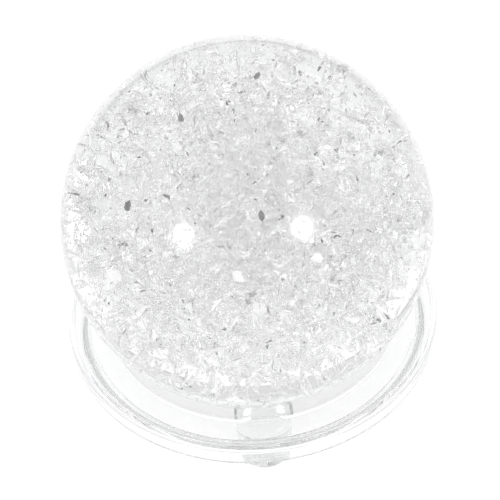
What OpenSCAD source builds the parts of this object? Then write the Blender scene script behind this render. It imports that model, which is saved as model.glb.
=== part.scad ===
// Crackle-glass crystal ball on a clear ring stand with three feet.
// Z is up. The origin is on the table, under the middle of the ball.

/* [Ball] */
// Diameter of the glass ball
ball_d = 80; // [60:1:100]
// Gap between the bottom of the ball and the table
ball_clear = 1; // [0.6:0.1:4]

/* [Stand ring] */
// Outer diameter of the ring
ring_d = 85.3; // [84:0.1:100]
// Height of the ring's outer wall
ring_h = 4.5; // [4:0.1:6]
// Height of the floor under the rim
floor_drop = 1.6; // [1:0.1:2]
// Width of the flat top of the rim
rim_w = 1.7; // [1:0.1:3]
// Width of the slope between the rim and the floor
slope_w = 2.8; // [1:0.1:4]
// Height of the ball's centre above the top of the rim
ball_above_rim = 24.2; // [23.8:0.1:24.6]
// Radius that rounds the outer edge of the rim
edge_r = 1.1; // [0.5:0.1:1.2]
// Thickness of the wall round the channel under the rim
wall_t = 1; // [0.9:0.05:1.1]

/* [Seat] */
// Outer diameter of the soft seat ring
seat_d = 67; // [65:0.1:69]
// Thickness of the ledge that carries the seat ring
ledge_t = 1.3; // [1:0.1:1.6]
// How far the seat ring stands above the floor
seat_proud = 0.7; // [0.4:0.1:1]
// Running clearance of the seat ring in its rebate
seat_clear = 0.08; // [0.05:0.01:0.1]
// Gap between the seat ring and the ball
ball_gap = 0.12; // [0.08:0.01:0.2]

/* [Feet] */
// Radius of the circle through the middle of the feet
foot_pitch_r = 29.5; // [29:0.1:33]
// Diameter of a foot
foot_d = 12.6; // [10:0.1:13]
// Width of the bevel round the bottom of a foot
foot_bevel = 0.5; // [0.2:0.1:1]

/* [Hidden] */

$fn = 128;
ball_r = ball_d / 2;
ball_z = ball_clear + ball_r;
rim_z = ball_z - ball_above_rim;
under_z = rim_z - ring_h;
floor_z = rim_z - floor_drop;
ring_r = ring_d / 2;
rim_in_r = ring_r - rim_w;
floor_r = rim_in_r - slope_w;
rebate_r = seat_d / 2 + seat_clear;
ledge_z = under_z + ledge_t;
feet = 3;

// The rim's inner edge: the radius that rounds it, and the height where its short step meets the slope
rim_soft_r = 0.45;
step_z = rim_z - 0.4 * floor_drop;

// Small bevels at the foot of the outer wall and at the inner side of the channel
base_bevel = 0.2;

// Radius of the ball where a plane at height z cuts it
function ball_cut_r(z) = sqrt(pow(ball_r, 2) - pow(ball_z - z, 2));

// The tapered hole in the ring and the hollows in the feet clear the ball by this much
hole_gap = 0.6;
hole_low_r = ball_cut_r(under_z) + hole_gap;
hole_high_r = ball_cut_r(ledge_z) + hole_gap;

// The seat ring's top edge, its bevel and the number of steps in its curved flank
seat_top_z = floor_z + seat_proud;
seat_foot_z = ledge_z + seat_clear;
seat_bevel = 0.5;
seat_steps = 10;

// Points on a quarter turn of radius r about (x, z), from angle a0 to a1
function arc(x, z, r, a0, a1, steps = 8) =
    [for (i = [0:steps]) let (a = a0 + (a1 - a0) * i / steps) [x + r * cos(a), z + r * sin(a)]];

// Glass ball, cracked inside and polished outside
module crystal_ball() {
    color("gainsboro")
        translate([0, 0, ball_z])
            sphere(r = ball_r);
}

// Soft ring that the ball sits in. Its inner flank follows the ball.
module seat_ring() {
    flank = [for (i = [0:seat_steps])
        let (z = seat_foot_z + (seat_top_z - seat_foot_z) * i / seat_steps)
        [ball_cut_r(z) + ball_gap, z]];
    crown = [
        [seat_d / 2 - 3 * seat_bevel, seat_top_z],
        [seat_d / 2 - seat_bevel, seat_top_z - seat_bevel / 2],
        [seat_d / 2, floor_z - seat_bevel / 2],
        [seat_d / 2, seat_foot_z]
    ];
    color("whitesmoke")
        rotate_extrude()
            polygon(concat(flank, crown));
}

// Clear ring with a raised rim, a sloped inner wall, a flat floor and a rebate for the seat ring.
// A channel runs round the underside of the rim.
module stand_ring() {
    channel_wall_r = ring_r - wall_t;
    profile = concat(
        [
            [hole_low_r, under_z],
            [floor_r - base_bevel, under_z],
            [rim_in_r - 0.6 * wall_t, rim_z - 1.6 * wall_t],
            [rim_in_r + 0.6 * wall_t, rim_z - wall_t],
            [channel_wall_r, rim_z - wall_t],
            [channel_wall_r, under_z],
            [ring_r - base_bevel, under_z],
            [ring_r, under_z + base_bevel]
        ],
        arc(ring_r - edge_r, rim_z - edge_r, edge_r, 0, 90),
        arc(rim_in_r + rim_soft_r, rim_z - rim_soft_r, rim_soft_r, 90, 180),
        [
            [rim_in_r, step_z],
            [floor_r, floor_z],
            [rebate_r, floor_z],
            [rebate_r, ledge_z],
            [hole_high_r, ledge_z]
        ]
    );
    color("ghostwhite")
        rotate_extrude()
            polygon(profile);
}

// One clear round foot, bonded under the ring and hollowed at the top to clear the ball.
// Foot 0 points along -Y.
module foot(i) {
    color("ghostwhite")
        rotate([0, 0, i * 360 / feet - 90])
            difference() {
                translate([foot_pitch_r, 0, 0]) {
                    cylinder(r1 = foot_d / 2 - foot_bevel, r2 = foot_d / 2, h = foot_bevel);
                    translate([0, 0, foot_bevel])
                        cylinder(d = foot_d, h = under_z - foot_bevel);
                }
                translate([0, 0, ball_z])
                    sphere(r = ball_r + hole_gap);
            }
}

crystal_ball();
seat_ring();
stand_ring();
foot(0);  // foot_front
foot(1);  // foot_right
foot(2);  // foot_left
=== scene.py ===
"""Looks of a crackle-glass crystal ball on its clear ring stand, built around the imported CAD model."""

import math

import bmesh
import bpy
import numpy as np
from mathutils import Matrix, Vector


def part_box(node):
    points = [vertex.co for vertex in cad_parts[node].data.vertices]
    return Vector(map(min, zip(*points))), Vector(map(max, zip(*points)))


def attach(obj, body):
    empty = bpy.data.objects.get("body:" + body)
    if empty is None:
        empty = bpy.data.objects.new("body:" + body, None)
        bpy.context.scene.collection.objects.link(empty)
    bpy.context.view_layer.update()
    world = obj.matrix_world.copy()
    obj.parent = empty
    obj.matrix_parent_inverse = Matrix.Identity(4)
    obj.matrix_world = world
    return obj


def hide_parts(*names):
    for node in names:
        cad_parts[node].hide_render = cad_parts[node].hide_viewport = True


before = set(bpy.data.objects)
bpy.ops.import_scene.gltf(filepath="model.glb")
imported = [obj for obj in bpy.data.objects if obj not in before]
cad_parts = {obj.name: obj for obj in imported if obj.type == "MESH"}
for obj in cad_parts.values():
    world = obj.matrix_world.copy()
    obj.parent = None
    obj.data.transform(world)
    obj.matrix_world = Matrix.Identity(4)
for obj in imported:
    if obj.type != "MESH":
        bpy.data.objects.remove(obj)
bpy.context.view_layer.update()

SEED = 29
MM = 0.001

# ---------------------------------------------------------------------------------------------
# Driving sizes, in metres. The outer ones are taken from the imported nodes.
# ---------------------------------------------------------------------------------------------
ball_low, ball_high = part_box("crystal_ball")
ring_low, ring_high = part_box("stand_ring")
seat_low, seat_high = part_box("seat_ring")

# The ring's section, which the boxes don't give
RIM_W = 1.7 * MM
RIM_SOFT_R = 0.45 * MM
SLOPE_W = 2.8 * MM
FLOOR_DROP = 1.6 * MM
STEP_SHARE = 0.4
LEDGE_T = 1.3 * MM
EDGE_R = 1.1 * MM
BASE_BEVEL = 0.2 * MM
WALL_T = 1.0 * MM
HOLE_GAP = 0.6 * MM
SEAT_CLEAR = 0.08 * MM

# The hair of air between the ring and the feet bonded under it
BOND_GAP = 0.03 * MM

BALL_R = (ball_high.z - ball_low.z) / 2
BALL_CENTRE = (ball_low + ball_high) / 2
RING_R = (ring_high.x - ring_low.x) / 2
RIM_Z = ring_high.z
UNDER_Z = ring_low.z
SEAT_R = (seat_high.x - seat_low.x) / 2


# ---------------------------------------------------------------------------------------------
# Mesh helpers
# ---------------------------------------------------------------------------------------------
CRISP_ANGLE = math.radians(25)


def mesh_object(name, points, faces, smooth=True):
    """A new mesh object from points and faces, linked to the scene."""
    mesh = bpy.data.meshes.new(name)
    mesh.from_pydata([tuple(p) for p in points], [], [tuple(f) for f in faces])
    mesh.polygons.foreach_set("use_smooth", [smooth] * len(mesh.polygons))
    mesh.update()
    piece = bpy.data.objects.new(name, mesh)
    bpy.context.scene.collection.objects.link(piece)
    return piece


def outward(piece):
    """Turns every face of a closed mesh to look outwards, and keeps its corners crisp."""
    mesh = bmesh.new()
    mesh.from_mesh(piece.data)
    bmesh.ops.recalc_face_normals(mesh, faces=mesh.faces)
    mesh.to_mesh(piece.data)
    mesh.free()
    piece.data.set_sharp_from_angle(angle=CRISP_ANGLE)
    return piece


def lathe(name, profile, steps=360):
    """A closed ring: a closed outline of (radius, height) points turned about the Z axis."""
    points = []
    faces = []
    count = len(profile)
    for i in range(steps):
        a = 2 * math.pi * i / steps
        points += [(r * math.cos(a), r * math.sin(a), z) for r, z in profile]
    for i in range(steps):
        here, there = i * count, (i + 1) % steps * count
        for j in range(count):
            k = (j + 1) % count
            faces.append((here + j, there + j, there + k, here + k))
    return outward(mesh_object(name, points, faces))


def arc(r, z, radius, start, end, steps=8):
    """Points along a circular arc about (r, z), with angles in degrees."""
    angles = [math.radians(start + (end - start) * i / steps) for i in range(steps + 1)]
    return [(r + radius * math.cos(a), z + radius * math.sin(a)) for a in angles]


# ---------------------------------------------------------------------------------------------
# Materials
# ---------------------------------------------------------------------------------------------
def new_material(name):
    """A node material with its Principled shader."""
    material = bpy.data.materials.new(name)
    material.use_nodes = True
    return material, material.node_tree, material.node_tree.nodes["Principled BSDF"]


def noise(tree, scale, detail=3.0):
    """A noise texture on the object's own coordinates. Scale is in waves per metre."""
    place = tree.nodes.new("ShaderNodeTexCoord")
    texture = tree.nodes.new("ShaderNodeTexNoise")
    texture.inputs["Scale"].default_value = scale
    texture.inputs["Detail"].default_value = detail
    tree.links.new(place.outputs["Object"], texture.inputs["Vector"])
    return texture.outputs["Fac"]


def ramp(tree, factor, low, high, start=0.35, end=0.65):
    """Spreads a factor between two colours."""
    node = tree.nodes.new("ShaderNodeValToRGB")
    node.color_ramp.elements[0].position = start
    node.color_ramp.elements[1].position = end
    node.color_ramp.elements[0].color = (*low, 1)
    node.color_ramp.elements[1].color = (*high, 1)
    tree.links.new(factor, node.inputs["Fac"])
    return node.outputs["Color"]


def spread(tree, factor, low, high, start=0, end=1):
    """Spreads a factor between two numbers."""
    node = tree.nodes.new("ShaderNodeMapRange")
    node.inputs["From Min"].default_value = start
    node.inputs["From Max"].default_value = end
    node.inputs["To Min"].default_value = low
    node.inputs["To Max"].default_value = high
    tree.links.new(factor, node.inputs["Value"])
    return node.outputs["Result"]


def bump(tree, factor, strength, distance):
    """A bump from a factor."""
    node = tree.nodes.new("ShaderNodeBump")
    node.inputs["Strength"].default_value = strength
    node.inputs["Distance"].default_value = distance
    tree.links.new(factor, node.inputs["Height"])
    return node.outputs["Normal"]


WAVE_HEIGHT = 0.1 * MM


def clear_material(name, ior, tint, waviness, wave_scale):
    """Clear solid glass or plastic, with the faint waviness of its polished surface."""
    material, tree, shader = new_material(name)
    shader.inputs["Base Color"].default_value = (*tint, 1)
    shader.inputs["Transmission Weight"].default_value = 1
    shader.inputs["Roughness"].default_value = 0
    shader.inputs["IOR"].default_value = ior
    waves = noise(tree, wave_scale, 2.0)
    tree.links.new(bump(tree, waves, waviness, WAVE_HEIGHT), shader.inputs["Normal"])
    return material


def silicone_material():
    """Translucent satin silicone."""
    material, tree, shader = new_material("clear_silicone")
    grain = noise(tree, 900)
    cloud = ramp(tree, grain, (0.97, 0.97, 0.97), (1.0, 1.0, 1.0))
    tree.links.new(cloud, shader.inputs["Base Color"])
    tree.links.new(spread(tree, grain, 0.2, 0.3), shader.inputs["Roughness"])
    shader.inputs["Transmission Weight"].default_value = 1
    shader.inputs["IOR"].default_value = 1.22
    return material


def crack_material(name, low, high, roughness, metallic):
    """Crack faces that throw light back, with cloudy patches of tone and gloss."""
    material, tree, shader = new_material(name)
    clouds = noise(tree, 700, 4.0)
    tree.links.new(ramp(tree, clouds, low, high), shader.inputs["Base Color"])
    tree.links.new(spread(tree, clouds, *roughness), shader.inputs["Roughness"])
    shader.inputs["Metallic"].default_value = metallic
    return material


HACKLE_STRETCH = (13, 1.6, 1)
HACKLE_HEIGHT = 0.05 * MM


def hackle(tree):
    """Fine streaks that run from the root of a flake to its edge."""
    place = tree.nodes.new("ShaderNodeTexCoord")
    stretch = tree.nodes.new("ShaderNodeMapping")
    stretch.inputs["Scale"].default_value = HACKLE_STRETCH
    texture = tree.nodes.new("ShaderNodeTexNoise")
    texture.inputs["Scale"].default_value = 1
    texture.inputs["Detail"].default_value = 2
    texture.inputs["Distortion"].default_value = 0.6
    tree.links.new(place.outputs["UV"], stretch.inputs["Vector"])
    tree.links.new(stretch.outputs["Vector"], texture.inputs["Vector"])
    return texture.outputs["Fac"]


def gap_material(name, ior):
    """The thin gap of a crack. Its faces look into the gap, because the glass is outside them."""
    material, tree, shader = new_material(name)
    shader.inputs["Base Color"].default_value = (1, 1, 1, 1)
    shader.inputs["Transmission Weight"].default_value = 1
    shader.inputs["Roughness"].default_value = 0.02
    shader.inputs["IOR"].default_value = ior
    tree.links.new(bump(tree, hackle(tree), 0.3, HACKLE_HEIGHT), shader.inputs["Normal"])
    return material


def oval_distance(tree, scale, shift):
    """Distance from the middle of an oval: object coordinates are scaled, then shifted."""
    place = tree.nodes.new("ShaderNodeTexCoord")
    stretch = tree.nodes.new("ShaderNodeMapping")
    stretch.inputs["Scale"].default_value = scale
    stretch.inputs["Location"].default_value = shift
    length = tree.nodes.new("ShaderNodeVectorMath")
    length.operation = "LENGTH"
    tree.links.new(place.outputs["Object"], stretch.inputs["Vector"])
    tree.links.new(stretch.outputs["Vector"], length.inputs[0])
    return length.outputs["Value"]


# The floor's painted glow: an oval of emission, bright near the middle and dim farther out.
GLOW_SCALE = (2.6, 0.8, 1)
GLOW_SHIFT = (0, -0.28, 0)
GLOW_NEAR = 0.33
GLOW_FAR = 0.58
GLOW_BRIGHT = 0.83
GLOW_DIM = 0.15


def floor_material():
    """Grey paper with a painted glow: emission, bright in an oval that reaches back behind the object and
    dim farther out, stands in for light from below and washes out shadows.
    """
    material, tree, shader = new_material("paper_painted_glow")
    fibres = noise(tree, 60)
    paper = ramp(tree, fibres, (0.30, 0.30, 0.30), (0.32, 0.32, 0.32))
    tree.links.new(paper, shader.inputs["Base Color"])
    shader.inputs["Roughness"].default_value = 0.9
    shader.inputs["Specular IOR Level"].default_value = 0.1
    shader.inputs["Emission Color"].default_value = (1, 1, 1, 1)
    distance = oval_distance(tree, GLOW_SCALE, GLOW_SHIFT)
    glow = spread(tree, distance, GLOW_BRIGHT, GLOW_DIM, GLOW_NEAR, GLOW_FAR)
    tree.links.new(glow, shader.inputs["Emission Strength"])
    return material


# ---------------------------------------------------------------------------------------------
# The cracks: small closed fan-shaped flakes in the glass
# ---------------------------------------------------------------------------------------------
def random_turns(rng, count):
    """Random rotation matrices, spread evenly."""
    q = rng.normal(size=(count, 4))
    q /= np.linalg.norm(q, axis=1)[:, None]
    w, x, y, z = q.T
    rows = [
        [1 - 2 * (y * y + z * z), 2 * (x * y - z * w), 2 * (x * z + y * w)],
        [2 * (x * y + z * w), 1 - 2 * (x * x + z * z), 2 * (y * z - x * w)],
        [2 * (x * z - y * w), 2 * (y * z + x * w), 1 - 2 * (x * x + y * y)],
    ]
    return np.array(rows).transpose(2, 0, 1)


# How the cracks crowd together: 3 would be even all through the ball, and less is denser near the middle
CROWDING = 2.0

# The shape of a flake, in shares of its length. It opens like a fan from a short root to a ragged edge, by
# FAN_OPENING radians to each side.
FAN_ROWS = 2
FAN_ROOT = 0.12
FAN_MIDDLE = 0.55
FAN_OPENING = (0.5, 1.25)
FAN_CURL = 0.45
FAN_RAGGED = 0.78
FAN_PLEAT = 0.06
FAN_GAP = 0.10


def inside_ball(rng, count, inner, outer):
    """Random places between two radii of the ball, as shares of BALL_R."""
    way = rng.normal(size=(count, 3))
    way /= np.linalg.norm(way, axis=1)[:, None]
    radius = BALL_R * rng.uniform(inner**CROWDING, outer**CROWDING, count) ** (1 / CROWDING)
    return np.array(BALL_CENTRE) + way * radius[:, None]


def each(values):
    """One value a flake, shaped to spread over the flake's rows and columns."""
    return values[:, None, None]


def fan_tops(rng, count, slim, ribs):
    """The upper points of each flake: a pleated, curved fan of rows from its root to its edge."""
    opening = rng.uniform(*FAN_OPENING, count)
    width = rng.uniform(*slim, count)
    curl = rng.uniform(-FAN_CURL, FAN_CURL, count)
    depth = rng.uniform(0.5, 1.5, count) * FAN_PLEAT
    edge = rng.uniform(FAN_RAGGED, 1.0, (count, ribs + 1))

    along = np.linspace(FAN_ROOT, 1, FAN_ROWS + 1)[None, :, None]
    angle = np.linspace(-1, 1, ribs + 1)[None, None, :] * each(opening)
    r = along * (1 - (1 - edge[:, None, :]) * along)
    x = r * np.cos(angle)
    y = r * np.sin(angle) * each(width)
    fold = np.where(np.arange(ribs + 1) % 2 == 0, 1.0, -1.0)[None, None, :]
    z = each(curl) * (x**2 + y**2) + each(depth) * fold * along
    return np.stack([x, y, z], -1)


def with_undersides(tops):
    """Adds the lower points of the thin gap, which lie under the inner points only."""
    count = len(tops)
    under = tops[:, 1:-1, 1:-1].copy()
    under[..., 2] -= FAN_GAP
    return np.concatenate([tops.reshape(count, -1, 3), under.reshape(count, -1, 3)], 1)


def fan_faces(ribs):
    """The faces of one flake. Its top and underside share the points round its edge."""
    def top(i, j):
        return i * (ribs + 1) + j

    def under(i, j):
        if 0 < i < FAN_ROWS and 0 < j < ribs:
            return (FAN_ROWS + 1) * (ribs + 1) + (i - 1) * (ribs - 1) + j - 1
        return top(i, j)

    faces = []
    for i in range(FAN_ROWS):
        for j in range(ribs):
            faces.append([top(i, j), top(i + 1, j), top(i + 1, j + 1), top(i, j + 1)])
            faces.append([under(i, j), under(i, j + 1), under(i + 1, j + 1), under(i + 1, j)])
    return np.array(faces)


def add_grain(piece, rng, count, ribs, faces):
    """UVs that run across and along each flake, shifted at random so that no two streak alike."""
    across, along = np.meshgrid(np.linspace(0, 1, ribs + 1), np.linspace(0, 1, FAN_ROWS + 1))
    grid = np.stack([across, along], -1)
    spots = np.concatenate([grid.reshape(-1, 2), grid[1:-1, 1:-1].reshape(-1, 2)])
    shifts = rng.uniform(0, 40, (count, 1, 2))
    layer = piece.data.uv_layers.new(name="grain")
    layer.uv.foreach_set("vector", (spots[None] + shifts).reshape(-1, 2)[faces.ravel()].ravel())


def flakes(name, rng, count, size, inner, outer, slim, ribs):
    """Many closed flakes in one mesh. Their faces look into the gap, because the glass is outside them."""
    reach = rng.uniform(*size, count)
    local = with_undersides(fan_tops(rng, count, slim, ribs))
    local[..., 0] -= FAN_MIDDLE
    local *= each(reach)
    turned = np.einsum("nij,nkj->nki", random_turns(rng, count), local)
    points = turned + inside_ball(rng, count, inner, outer)[:, None, :]

    starts = local.shape[1] * np.arange(count)
    faces = (fan_faces(ribs)[None] + each(starts)).reshape(-1, 4)[:, ::-1]
    piece = mesh_object(name, points.reshape(-1, 3), faces, smooth=False)
    add_grain(piece, rng, count, ribs, faces)
    return piece


# The cracks that stand out, at shares of the radius to the right of the middle and up from it, as seen from
# above the front. They lie just under the surface.
LEAF_SPOTS = ((-0.18, 0.67), (-0.28, 0.59), (-0.04, -0.27), (0.39, 0.37), (0.35, -0.18))
# The dark cracks are grey leaves. Their grey is a painted dark reflection, in place of crack faces that
# mirror dark surroundings.
DARK_REFLECTION_SPOTS = ((-0.40, 0.13), (-0.60, 0.08), (0.07, 0.03), (0.05, 0.74), (-0.33, 0.52))
LEAF_DEPTH = 0.9
LEAF_BULGE = 0.04
LEAF_SLIM = (0.4, 0.75)
LEAF_RAGGED = 0.6


def bend(way, normal, ior=1.5):
    """A direction outside the glass, bent to the one it takes inside."""
    flat = (way - way.dot(normal) * normal) / ior
    return flat + normal * math.sqrt(1 - flat.length_squared)


def leaf_facing(way, eye, lamp):
    """The direction that a leaf in the glass faces to throw the lamp's light to the eye."""
    surface = BALL_CENTRE + way * BALL_R
    to_eye = bend((eye - surface).normalized(), way)
    to_lamp = bend((lamp - surface).normalized(), way)
    return (to_eye + to_lamp).normalized()


def leaf_outline(rng, size, sides):
    """A leaf's length, and its ragged, turned outline in shares of that length."""
    length = rng.uniform(*size)
    slim = rng.uniform(*LEAF_SLIM)
    turn = rng.uniform(0, math.pi)
    outline = []
    for i in range(sides):
        a = 2 * math.pi * i / sides
        u = rng.uniform(LEAF_RAGGED, 1) * math.cos(a)
        v = rng.uniform(LEAF_RAGGED, 1) * slim * math.sin(a)
        outline.append((u * math.cos(turn) - v * math.sin(turn), u * math.sin(turn) + v * math.cos(turn)))
    return length, outline


def leaves(name, rng, view, eye, lamp, spots, size, material, sides=9):
    """Thin closed leaves with ragged outlines, just under the surface. Each is tilted to catch the lamp."""
    points = []
    faces = []
    for across, up in spots:
        way = view @ Vector((across, up, math.sqrt(1 - across**2 - up**2)))
        facing = leaf_facing(way, eye, lamp)
        side = facing.cross(view.col[1]).normalized()
        along = facing.cross(side)
        length, outline = leaf_outline(rng, size, sides)
        centre = BALL_CENTRE + way * LEAF_DEPTH * BALL_R
        bulge = facing * LEAF_BULGE * length
        start = len(points)
        points += [centre + bulge, centre - bulge]
        points += [centre + (side * x + along * y) * length for x, y in outline]
        rim = [start + 2 + i for i in range(sides)]
        for here, there in zip(rim, rim[1:] + rim[:1]):
            faces += [(start, here, there), (start + 1, there, here)]
    piece = outward(mesh_object(name, points, faces, smooth=False))
    piece.data.materials.append(material)
    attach(piece, "ball")


# ---------------------------------------------------------------------------------------------
# Pieces
# ---------------------------------------------------------------------------------------------
def glass_ball(material):
    """The polished outside of the ball, as a fine closed sphere."""
    piece = mesh_object("glass_ball", [], [])
    mesh = bmesh.new()
    bmesh.ops.create_icosphere(mesh, subdivisions=6, radius=BALL_R, matrix=Matrix.Translation(BALL_CENTRE))
    for face in mesh.faces:
        face.smooth = True
    mesh.to_mesh(piece.data)
    mesh.free()
    piece.data.materials.append(material)
    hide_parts("crystal_ball")
    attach(piece, "ball")


def cut_radius(z):
    """Radius of the ball at a height."""
    return math.sqrt(BALL_R**2 - (BALL_CENTRE.z - z) ** 2)


def ring_profile():
    """The ring's section: raised rim over a channel, sloped inner wall, flat floor, rebate and ledge."""
    under = UNDER_Z + BOND_GAP
    floor = RIM_Z - FLOOR_DROP
    ledge = UNDER_Z + LEDGE_T
    rim_in = RING_R - RIM_W
    floor_r = rim_in - SLOPE_W
    rebate_r = SEAT_R + SEAT_CLEAR
    channel_top = RIM_Z - WALL_T
    hole = [(cut_radius(UNDER_Z) + HOLE_GAP, under)]
    channel = [
        (floor_r - BASE_BEVEL, under),
        (rim_in - 0.6 * WALL_T, RIM_Z - 1.6 * WALL_T),
        (rim_in + 0.6 * WALL_T, channel_top),
        (RING_R - WALL_T, channel_top),
        (RING_R - WALL_T, under),
    ]
    outer_foot = [(RING_R - BASE_BEVEL, under), (RING_R, under + BASE_BEVEL)]
    outer_edge = arc(RING_R - EDGE_R, RIM_Z - EDGE_R, EDGE_R, 0, 90)
    inner_edge = arc(rim_in + RIM_SOFT_R, RIM_Z - RIM_SOFT_R, RIM_SOFT_R, 90, 180, 6)
    bowl = [
        (rim_in, RIM_Z - STEP_SHARE * FLOOR_DROP),
        (floor_r, floor),
        (rebate_r, floor),
        (rebate_r, ledge),
        (cut_radius(ledge) + HOLE_GAP, ledge),
    ]
    return hole + channel + outer_foot + outer_edge + inner_edge + bowl


def stand_ring(material):
    """The clear ring."""
    piece = lathe("clear_ring", ring_profile())
    piece.data.materials.append(material)
    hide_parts("stand_ring")
    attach(piece, "stand")


def add_cracks(view):
    """All the cracks, from long fans to small chips, and the few that stand out."""
    rng = np.random.default_rng(SEED)
    gap = gap_material("crack_gap", 1.5)
    healed = gap_material("crack_healed", 1.16)
    frost = crack_material("crack_frost", (0.86, 0.86, 0.86), (0.96, 0.96, 0.96), (0.2, 0.45), 0.0)
    # Name, count, length, nearest and farthest from the middle as shares of the radius, width as a share of
    # the fan's, ribs, material
    kinds = [
        ("crack_fans", 850, (2.9 * MM, 5.8 * MM), 0.05, 0.60, (0.25, 0.75), 15, gap),
        ("crack_shells", 1200, (1.2 * MM, 2.6 * MM), 0.1, 0.70, (0.15, 0.6), 9, gap),
        ("crack_blades", 2600, (2.0 * MM, 5.0 * MM), 0.1, 0.70, (0.03, 0.1), 5, gap),
        ("crack_traces", 2600, (0.7 * MM, 1.7 * MM), 0.6, 0.82, (0.1, 0.5), 7, healed),
        ("crack_chips", 160, (0.8 * MM, 1.8 * MM), 0.1, 0.75, (0.15, 0.5), 4, frost),
    ]
    for name, count, size, inner, outer, slim, ribs, material in kinds:
        piece = flakes(name, rng, count, size, inner, outer, slim, ribs)
        piece.data.materials.append(material)
        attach(piece, "ball")
    # Painted dark reflection: flat grey leaves that face the camera, standing in for crack faces that
    # mirror dark surroundings.
    painted_dark_reflection = crack_material("crack_painted_dark_reflection", (0.36, 0.36, 0.36), (0.6, 0.6, 0.6), (0.3, 0.5), 0.0)
    silver = crack_material("crack_silver", (0.93, 0.93, 0.93), (1.0, 1.0, 1.0), (0.38, 0.5), 1.0)
    eye = BALL_CENTRE + view.col[2] * CAMERA_DISTANCE
    lamp = BALL_CENTRE + lamp_ways(view)[0] * LAMP_DISTANCE
    leaves("crack_leaves", rng, view, eye, lamp, LEAF_SPOTS, (1.5 * MM, 2.4 * MM), silver)
    leaves("crack_painted_dark_reflections", rng, view, eye, eye, DARK_REFLECTION_SPOTS, (0.9 * MM, 1.5 * MM), painted_dark_reflection, 6)


# ---------------------------------------------------------------------------------------------
# Studio: floor, world, lights and camera
# ---------------------------------------------------------------------------------------------
CAMERA_DISTANCE = 6 * BALL_R
CAMERA_ELEVATION = math.radians(43.8)
CAMERA_TURN = math.radians(2)
CAMERA_ROLL = math.radians(3.41)
CAMERA_LENS = 79.83
AIM_BELOW = 0.1515 * BALL_R
AIM_RIGHT = 0.0152 * BALL_R


def add_camera():
    """The camera, above the front of the ball and a little to the left of the front foot. Gives the axes of
    the view of the ball's middle, as columns: right, up and towards the camera."""
    way = Vector((
        -math.sin(CAMERA_TURN) * math.cos(CAMERA_ELEVATION),
        -math.cos(CAMERA_TURN) * math.cos(CAMERA_ELEVATION),
        math.sin(CAMERA_ELEVATION),
    ))
    place = BALL_CENTRE + way * CAMERA_DISTANCE
    level = (-way).to_track_quat("-Z", "Y").to_matrix() @ Matrix.Rotation(-CAMERA_ROLL, 3, "Z")
    right, up = level.col[0], level.col[1]
    target = BALL_CENTRE - up * AIM_BELOW + right * AIM_RIGHT
    aim = (target - place).to_track_quat("-Z", "Y").to_matrix() @ Matrix.Rotation(-CAMERA_ROLL, 3, "Z")
    data = bpy.data.cameras.new("camera")
    data.lens = CAMERA_LENS
    data.sensor_width = 36
    data.clip_start = 0.01
    camera = bpy.data.objects.new("camera", data)
    camera.matrix_world = Matrix.Translation(place) @ aim.to_4x4()
    bpy.context.scene.collection.objects.link(camera)
    bpy.context.scene.camera = camera
    return level


FLOOR_GAP = 0.2 * MM
FLOOR_R = 4.0
FLOOR_SIDES = 96


def add_floor():
    """A wide round sheet of paper with a painted glow, a hair under the object."""
    turns = [2 * math.pi * i / FLOOR_SIDES for i in range(FLOOR_SIDES)]
    rim = [(FLOOR_R * math.cos(a), FLOOR_R * math.sin(a), -FLOOR_GAP) for a in turns]
    floor = mesh_object("floor", rim, [range(FLOOR_SIDES)])
    floor.data.materials.append(floor_material())


def colour_mix(tree, blend, factor):
    """A colour mixing node."""
    node = tree.nodes.new("ShaderNodeMix")
    node.data_type = "RGBA"
    node.blend_type = blend
    node.inputs["Factor"].default_value = factor
    return node


def add_world():
    """Soft studio surround: bright above and behind, dark low down at the sides and in front. The backdrop
    itself is plain white."""
    world = bpy.data.worlds.new("studio")
    bpy.context.scene.world = world
    world.use_nodes = True
    tree = world.node_tree
    background = tree.nodes["Background"]
    place = tree.nodes.new("ShaderNodeTexCoord")
    split = tree.nodes.new("ShaderNodeSeparateXYZ")
    tree.links.new(place.outputs["Generated"], split.inputs["Vector"])
    above = ramp(tree, split.outputs["Z"], (0.1, 0.1, 0.1), (1.0, 1.0, 1.0), 0.05, 0.28)
    behind = ramp(tree, split.outputs["Y"], (0, 0, 0), (0.88, 0.88, 0.88), 0.2, 0.6)
    room = colour_mix(tree, "LIGHTEN", 1)
    tree.links.new(above, room.inputs["A"])
    tree.links.new(behind, room.inputs["B"])
    path = tree.nodes.new("ShaderNodeLightPath")
    backdrop = colour_mix(tree, "MIX", 0)
    backdrop.inputs["B"].default_value = (2, 2, 2, 1)
    tree.links.new(path.outputs["Is Camera Ray"], backdrop.inputs["Factor"])
    tree.links.new(room.outputs["Result"], backdrop.inputs["A"])
    tree.links.new(backdrop.outputs["Result"], background.inputs["Color"])
    background.inputs["Strength"].default_value = 0.8


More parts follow.
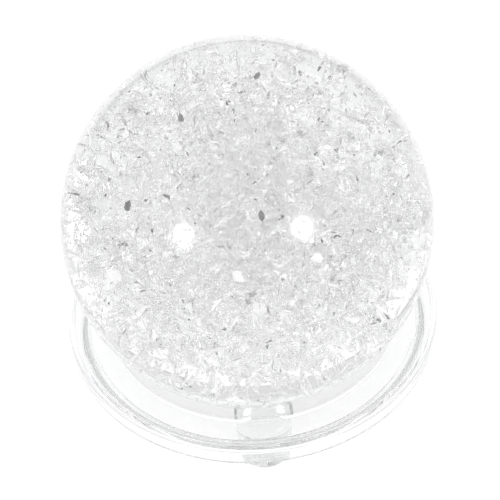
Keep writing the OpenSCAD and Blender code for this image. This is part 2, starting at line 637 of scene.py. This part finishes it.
def add_lamp(name, way, distance, width, radiance):
    """A round soft lamp that faces the ball."""
    data = bpy.data.lights.new(name, "AREA")
    data.shape = "DISK"
    data.size = width
    data.energy = radiance * math.pi * math.pi * (width / 2) ** 2
    lamp = bpy.data.objects.new(name, data)
    place = BALL_CENTRE + way * distance
    lamp.matrix_world = Matrix.Translation(place) @ (-way).to_track_quat("-Z", "Y").to_matrix().to_4x4()
    bpy.context.scene.collection.objects.link(lamp)


LAMP_WIDTH = 0.2
LAMP_DISTANCE = 0.8

# How far each lamp stands to the right of the view and below it, in degrees
LAMP_TURNS = ((31, 3), (-36, 7))

# The discs that build up each lamp's soft edge: share of the width, and radiance
LAMP_LAYERS = ((0.9, 8), (1.1, 3), (1.35, 1.5), (1.7, 0.7))


def lamp_ways(view):
    """The directions of the two lamps, one on each side of the front view."""
    side, up, front = view.col
    ways = []
    for across, below in LAMP_TURNS:
        sideways = Matrix.Rotation(math.radians(across), 3, up)
        downwards = Matrix.Rotation(math.radians(below), 3, side)
        ways.append(sideways @ downwards @ front)
    return ways


def add_lamps(view):
    """Two round lamps with soft edges, built from layers."""
    for name, way in zip(("lamp_right", "lamp_left"), lamp_ways(view)):
        for layer, (growth, radiance) in enumerate(LAMP_LAYERS):
            add_lamp(name + "_%d" % layer, way, LAMP_DISTANCE, LAMP_WIDTH * growth, radiance)


# ---------------------------------------------------------------------------------------------
# The scene
# ---------------------------------------------------------------------------------------------
def set_light_paths():
    """Lets light pass through the many layers of glass and cracks."""
    scene = bpy.context.scene
    scene.view_settings.view_transform = "Standard"
    scene.cycles.max_bounces = 32
    scene.cycles.transmission_bounces = 32
    scene.cycles.glossy_bounces = 16
    scene.cycles.diffuse_bounces = 8


def dress(node, material):
    """Gives a CAD node that stays in view its finished material."""
    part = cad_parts[node]
    part.data.materials.clear()
    part.data.materials.append(material)


set_light_paths()
view = add_camera()
add_floor()
add_world()
add_lamps(view)

ball_glass = clear_material("ball_glass", 1.5, (0.965, 0.968, 0.968), 0.02, 60)
acrylic = clear_material("clear_acrylic", 1.49, (0.985, 0.99, 0.99), 0.03, 80)
glass_ball(ball_glass)
add_cracks(view)
stand_ring(acrylic)
for node in ("foot_front", "foot_right", "foot_left"):
    dress(node, acrylic)
dress("seat_ring", silicone_material())
